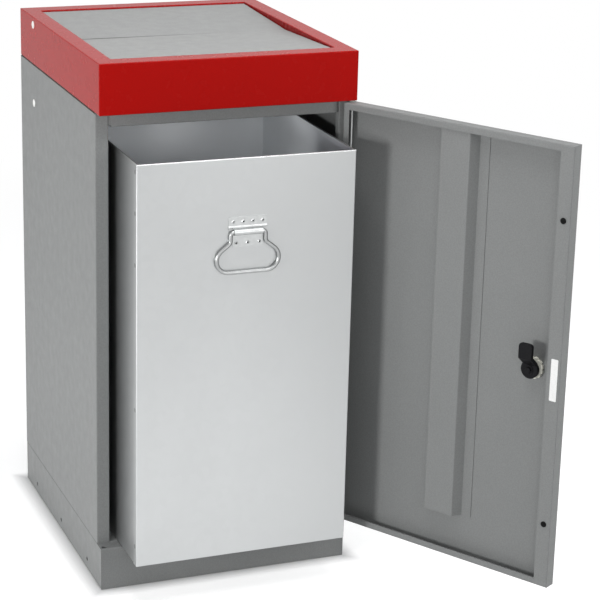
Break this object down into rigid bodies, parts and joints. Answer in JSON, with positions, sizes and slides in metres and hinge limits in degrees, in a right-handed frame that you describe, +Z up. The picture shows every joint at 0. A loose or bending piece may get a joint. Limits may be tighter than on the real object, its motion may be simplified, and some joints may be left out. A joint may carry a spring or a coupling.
{
  "type": "recycling bin",
  "caption": "Free-standing sheet-steel waste sorting cabinet with a red hood and swinging lid, a lockable door and a pull-out galvanised container with a wire drop handle.",
  "frame": {"origin": "on the floor at the middle of the plinth", "axes": "+Z up, +X to the right and -Y to the front of the cabinet, where the door is; drawn with the door open and the container pulled out"},
  "size_m": [0.6025, 0.7975, 0.82],
  "materials": {
    "cabinet_grey": "fine-textured grey powder coat",
    "hood_red": "semi-gloss signal red powder coat",
    "lid_grey": "light grey powder coat",
    "galvanised": "bright galvanised sheet",
    "zinc": "zinc plated",
    "black_metal": "satin black",
    "white_plastic": "matt white",
    "black_rubber": "matt black"
  },
  "bodies": {
    "cabinet": {"plinth_front": "cabinet_grey", "plinth_surround": "cabinet_grey", "floor_panel": "cabinet_grey", "side_left": "cabinet_grey", "side_right": "cabinet_grey", "back_panel": "cabinet_grey", "top_rail": "cabinet_grey", "corner_brackets": "cabinet_grey", "hood": "hood_red", "hood_screws": "zinc", "hood_nuts": "zinc", "side_plugs": "white_plastic", "hinge_bushes": "white_plastic", "lid_bushes": "white_plastic"},
    "lid": {"lid_panel": "lid_grey", "lid_weight": "cabinet_grey", "lid_pins": "zinc"},
    "door": {"door_pan": "cabinet_grey", "door_rib": "cabinet_grey", "hinge_rod": "zinc", "rod_washers": "white_plastic", "door_buffers": "black_rubber", "lock_body": "zinc", "lock_nut": "zinc"},
    "latch": {"lock_plug": "zinc", "lock_cam": "black_metal", "cam_screw": "black_metal"},
    "container": {"container_front": "galvanised", "container_wrap": "galvanised", "container_floor": "galvanised", "handle_plate": "zinc", "handle_rivets": "zinc"},
    "handle": {"handle_bail": "zinc"}
  },
  "joints": [
    {"name": "lid_swing", "type": "hinge", "parent": "cabinet", "child": "lid", "pos_m": [0, 0, 0.802], "axis": [1, 0, 0], "range_deg": [-32, 32]},
    {"name": "door_swing", "type": "hinge", "parent": "cabinet", "child": "door", "pos_m": [0.194, -0.224, 0.406], "axis": [0, 0, 1], "range_deg": [-121, 54]},
    {"name": "container_slide", "type": "slide", "parent": "cabinet", "child": "container", "axis": [0, -1, 0], "range_m": [-0.1455, 0.0652]},
    {"name": "latch_turn", "type": "hinge", "parent": "door", "child": "latch", "pos_m": [0.37374, -0.51149, 0.4], "axis": [0.8572, 0.515, 0], "range_deg": [0, 90]},
    {"name": "handle_lift", "type": "hinge", "parent": "container", "child": "handle", "pos_m": [0, -0.3114, 0.5795], "axis": [-1, 0, 0], "range_deg": [0, 40]}
  ],
  "couplings": [
    {"joint": "container_slide", "follows": "door_swing", "m_per_rad": 0.06866}
  ]
}
